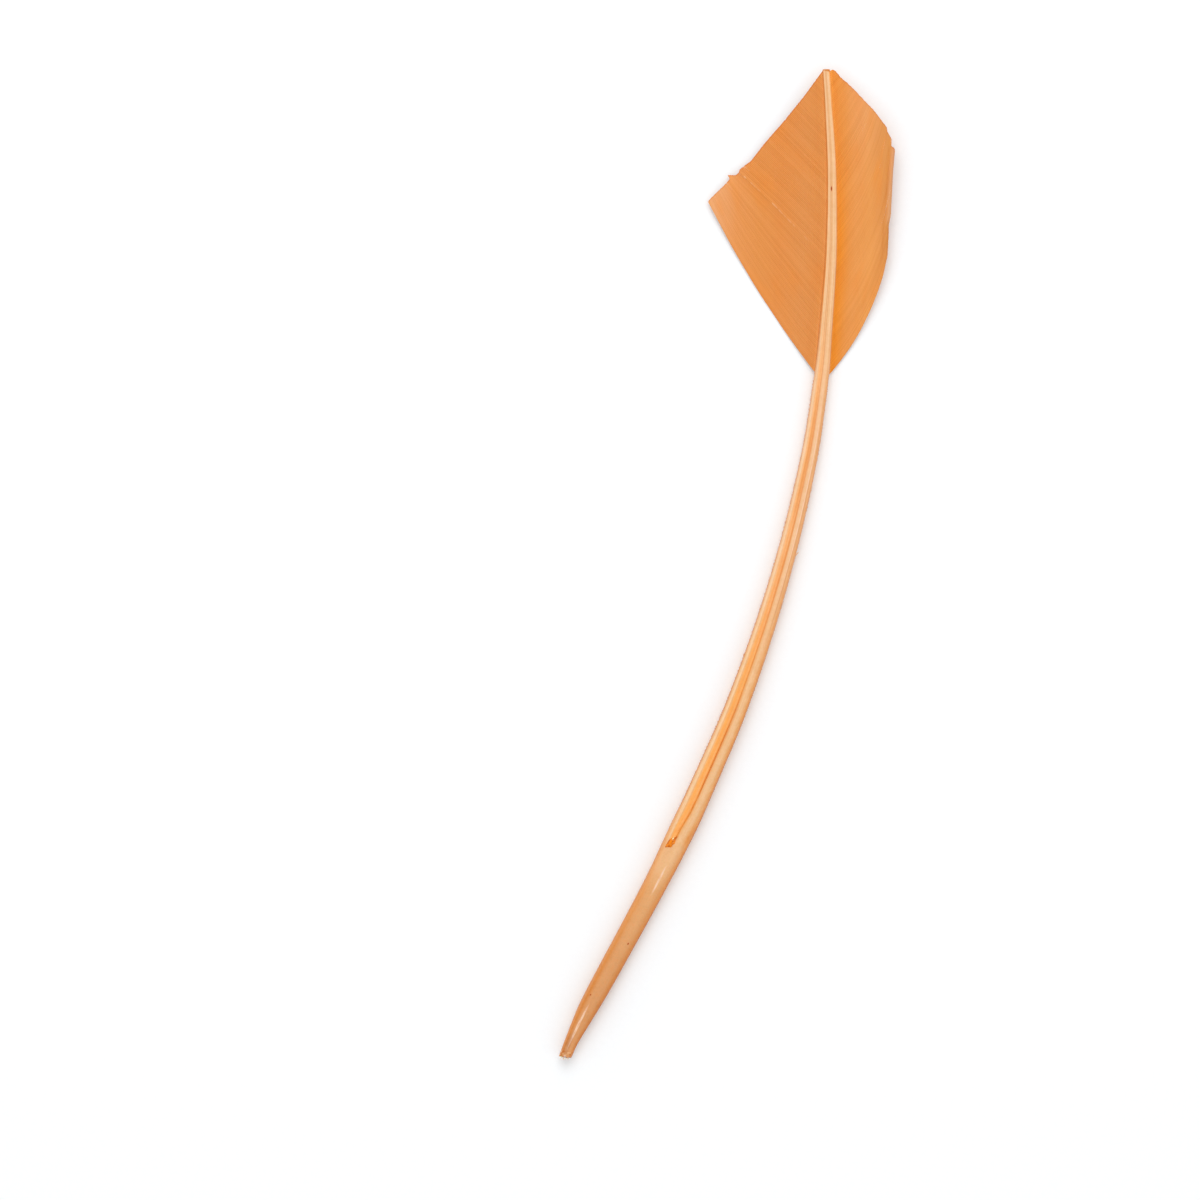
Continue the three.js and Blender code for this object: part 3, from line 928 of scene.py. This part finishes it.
def vane_splits(vane, ends, from_end):
    """Moves in plan and in height that open the vane's splits, and how strongly the first barbs
    beyond them are painted with a highlight, all fading away from the edge."""
    apart, lift, split_highlight = (np.zeros_like(from_end) for _ in range(3))
    for at, deep, gap, step in SPLITS[vane["name"]]:
        beyond = ends - at
        near = np.exp(-((beyond / 0.02) ** 2))[:, None]
        fade = np.clip(1 - from_end / deep, 0, 1)
        apart += gap * np.where(beyond > 0, 1.0, -1.0)[:, None] * near * fade**1.5
        lift += step * (beyond > 0)[:, None] * near * np.sqrt(fade)
        first = np.argmax(beyond > 0)
        split_highlight[first] += np.sqrt(fade[first]) * (gap >= LEAST_HIGHLIGHT_GAP)
    return apart, lift, split_highlight


def barb_values(vane, ring, along, from_end, split_highlight):
    """What the barbs' material reads at each point, apart from the place across a barb."""
    shape = ring.shape[:3]
    x, y = ring[..., 0], ring[..., 1]
    on_the_shaft = np.minimum(y, LENGTH)
    beyond = vane["side"] * (x - bow(on_the_shaft))
    strip, crease, brim = margin_strip(vane, x, y)
    pale_from = MARGIN_STRIP["pale_from"]
    tone = RANDOM.uniform(0, 1, shape[0])
    return {
        "away": np.maximum(0, beyond - width(on_the_shaft) / 2),
        "along": np.broadcast_to(along[..., None], shape),
        "from_end": np.broadcast_to(from_end[..., None], shape),
        "order": np.broadcast_to(np.arange(shape[0])[:, None, None], shape),
        "tone": np.broadcast_to(tone[:, None, None], shape),
        "split_highlight": np.broadcast_to(split_highlight[..., None], shape),
        "strip": strip * ease(y, pale_from - 3, pale_from),
        "crease": crease,
        "brim": brim,
    }


def add_vane(vane, material):
    """Every barb of one vane as its own ribbon, overlapping the next one towards the tip."""
    count = int((vane["top"] - vane["foot"]) / BARB_PITCH)
    grid = (count, BARB_STEPS)
    share = (np.arange(count) + 0.5 + RANDOM.uniform(-ROOT_OFF, ROOT_OFF, count)) / count
    plan = barb_plans(vane, share)
    step = np.gradient(plan, axis=1)
    tangent = step / np.hypot(step[..., 0], step[..., 1])[..., None]
    towards_tip = np.stack([-tangent[..., 1], tangent[..., 0]], -1) * vane["side"]
    to_next = np.gradient(plan, axis=0)
    spacing = np.einsum("ijk,ijk->ij", to_next, towards_tip)
    to_next = to_next + np.maximum(0, LEAST_SPACING - spacing)[..., None] * towards_tip
    pieces = np.hypot(*np.moveaxis(np.diff(plan, axis=1), -1, 0))
    along = np.concatenate([np.zeros((count, 1)), np.cumsum(pieces, 1)], 1)
    from_end = along[:, -1:] - along

    shorter = RANDOM.uniform(0, SHORTER, count)[:, None] * ease(from_end, 3, 0)
    wander = wave_noise(grid, (count // 3, 9)) * WANDER * ease(along, 1, 9) * ease(from_end, 0, 4)
    apart, step_up, split_highlight = vane_splits(vane, smooth(vane["ends"], share), from_end)
    plan = plan - shorter[..., None] * tangent + (wander + apart)[..., None] * towards_tip
    loose = np.clip(spacing / FULL_SPACING, 0.15, 1)
    lift = wave_noise(grid, (count // 7, 7)) * LOCK_LIFT
    lift = lift + wave_noise(grid, (count, 12)) * BARB_LIFT
    lift = (lift * ease(along, 1, 8) + step_up) * loose

    section = np.asarray(BARB_SECTION)
    places, heights = section[:, 0], section[:, 1]
    narrowed = 0.85 + 0.15 * ease(along, 0, 2.5)
    beside = to_next * (OVERLAP / 2 * narrowed)[..., None]
    ring = plan[:, :, None, :] + places[:, None] * beside[:, :, None, :]
    ridge = (1.35 - 0.7 * along / along.max())[..., None]
    heights = heights * np.where(places == 0, ridge, 1) * loose[..., None]
    up = vane_height(vane, ring) + lift[..., None] + heights
    points = np.concatenate([ring, up[..., None]], -1)

    corners = len(section)
    faces = capped_faces(count, BARB_STEPS, corners)
    uv = strip_map(count, BARB_STEPS, corners)
    if vane["side"] > 0:
        faces = [face[::-1] for face in faces]
        uv = [corner[::-1] for corner in uv]
    half = OVERLAP / 2 * np.maximum(spacing, LEAST_SPACING)
    values = barb_values(vane, ring, along, from_end, split_highlight)
    values["across"] = places * half[..., None] / BARB_HALF_WIDTH
    uv = np.concatenate([np.asarray(corner).ravel() for corner in uv])
    add_piece(vane["name"] + "_barbs", points, faces, (material,), values, uv, sharp=70)


def strip_map(strips, rows, columns):
    """Map corners for capped_faces, with one upright strip for each barb, so that a bake gives
    each its own pixels. The last column holds the strip's two caps."""
    strip, row, column = np.meshgrid(
        np.arange(strips), np.arange(rows - 1), np.arange(columns), indexing="ij"
    )
    across = (strip * (columns + 1) + column) / (strips * (columns + 1))
    step_across, step_up = 1 / (strips * (columns + 1)), 1 / (rows - 1)
    up = row * step_up
    low = [(across, up), (across, up + step_up)]
    high = [(across + step_across, up + step_up), (across + step_across, up)]
    corners = np.array([np.stack(pair, -1) for pair in low + high])
    corners = np.moveaxis(corners, 0, -2).reshape(-1, 4, 2)
    turns = np.linspace(0, 2 * math.pi, columns, endpoint=False)
    disc = 0.45 * np.stack([np.cos(turns), np.sin(turns)], -1) * (step_across, step_up)
    caps = []
    for strip in range(strips):
        middle = (strip * (columns + 1) + columns + 0.5) * step_across
        caps.extend([disc + (middle, 0.5 * step_up), disc[::-1] + (middle, 1 - 0.5 * step_up)])
    return list(corners) + caps


# ---- stage and camera --------------------------------

PICTURE_SIDE = 1200 * 0.26  # pixels by millimetres a pixel, at the feather's height
PICTURE_MIDDLE = (-21.58, 117.2)  # what its middle looks at, from the quill end
PICTURE_HEIGHT = 3.0  # millimetres above the floor where the picture is true to size
PICTURE_TURN = math.radians(14.812)  # the feather leans to the right in it
LENS, SENSOR = 150.0, 36.0
FLOOR_HALF_SIDE = 3.0  # metres
FLOOR_TINTS = ((0.89, 0.92, 0.935, 1), (0.92, 0.95, 0.965, 1))


def in_metres(x, y, z=0.0):
    return ((x - BOX_MIDDLE[0]) * MM, (y - BOX_MIDDLE[1]) * MM, z * MM)


def add_camera():
    data = bpy.data.cameras.new("camera")
    data.lens, data.sensor_width, data.sensor_height = LENS, SENSOR, SENSOR
    data.clip_start, data.clip_end = 0.01, 20
    camera = add_object("camera", data)
    height = PICTURE_HEIGHT + PICTURE_SIDE * LENS / SENSOR
    camera.location = in_metres(*PICTURE_MIDDLE, height)
    camera.rotation_euler = (0, 0, PICTURE_TURN)
    bpy.context.scene.camera = camera


def add_light(name, towards, distance, side, power):
    """A square soft light that faces the feather from a direction in the picture's own frame."""
    data = bpy.data.lights.new(name, "AREA")
    data.shape, data.size, data.energy = "SQUARE", side, power
    light = add_object(name, data)
    right, up, high = towards
    cos, sin = math.cos(PICTURE_TURN), math.sin(PICTURE_TURN)
    direction = np.array([right * cos - up * sin, right * sin + up * cos, high])
    direction = Vector(direction.tolist()).normalized()
    light.location = direction * distance
    light.rotation_euler = direction.to_track_quat("Z", "Y").to_euler()  # it shines along -z


def add_floor():
    shader = Shader("pale_floor", Roughness=0.7)
    place = shader.node("TexCoord").outputs["Object"]
    grain = shader.noise(place, 900.0, 2.0)
    tint = shader.mix(grain, *FLOOR_TINTS)
    material = shader.finish(tint, None, grain, 0.00001, 0.2)
    mesh = bpy.data.meshes.new("floor")
    far = FLOOR_HALF_SIDE
    corners = [(-far, -far, 0), (far, -far, 0), (far, far, 0), (-far, far, 0)]
    mesh.from_pydata(corners, [], [(0, 1, 2, 3)])
    mesh.materials.append(material)
    floor = add_object("floor", mesh)


def add_studio():
    """Even light from all round, and one soft lamp beyond the tip."""
    world = bpy.data.worlds.new("studio")
    world.use_nodes = True
    background = world.node_tree.nodes["Background"].inputs
    background["Color"].default_value = (1.0, 0.985, 0.985, 1)
    background["Strength"].default_value = 0.875
    bpy.context.scene.world = world
    add_light("key", towards=(-0.05, 0.8, 1.2), distance=1.5, side=1.1, power=8.4)
    bpy.context.scene.view_settings.view_transform = "Standard"


# ---- feather -----------------------------------------

horn = quill_and_shaft_material()
inside = plain_material("quill_inside", (196, 120, 60), (226, 170, 120), 900, 0.6)
pith = plain_material("cut_tip", (196, 112, 54), (232, 170, 110), 2500, 0.7)
resin = plain_material(
    "umbilicus_resin", (192, 92, 0), (240, 136, 6), 1000, 0.12, 0.00008, IOR=1.5,
    Specular_IOR_Level=0.25,
)
# A pale flake that paints the glint on the umbilicus.
glint_flake = plain_material("glint_flake", (246, 206, 120), (255, 240, 180), 2500, 0.4)
fibre = plain_material("torn_fibre", (214, 150, 100), (240, 206, 170), 3000, 0.6)
membrane = plain_material(
    "dry_membrane", (246, 228, 208), (255, 252, 248), 2500, 0.4,
    Subsurface_Weight=0.4, Subsurface_Scale=0.0006,
)
# Both vanes are painted lighter right beside the shaft, against its shade. The narrow vane's darker
# outer stops are painted shade towards its margin, and its vivid setting paints its sheen.
wide_dye_and_painted_light = barb_material("wide_vane_dye_and_painted_light", (
    (0, (242, 168, 96)), (0.8, (227, 151, 81)), (2, (222, 144, 77)), (6, (222, 145, 80)),
    (12, (223, 141, 73)), (18, (223, 142, 74)), (24, (225, 145, 81)), (30, (229, 160, 107)),
    (36, (230, 164, 113)),
))
narrow_dye_and_painted_light = barb_material("narrow_vane_dye_and_painted_light", (
    (0, (255, 176, 84)), (0.8, (234, 148, 64)), (2.5, (230, 149, 72)), (5, (230, 153, 82)),
    (9, (227, 150, 80)), (12, (215, 138, 73)), (15, (209, 134, 70)),
), vivid=(4.0, 60, 130, 0.6, 0.5))
add_shaft(horn, inside, pith)
add_umbilicus(resin)
add_umbilicus_glint(glint_flake)
add_stubs(fibre)
add_rim_membranes(membrane)
add_slivers(fibre)
add_vane(WIDE_VANE, wide_dye_and_painted_light)
add_vane(NARROW_VANE, narrow_dye_and_painted_light)

add_floor()
add_studio()
add_camera()
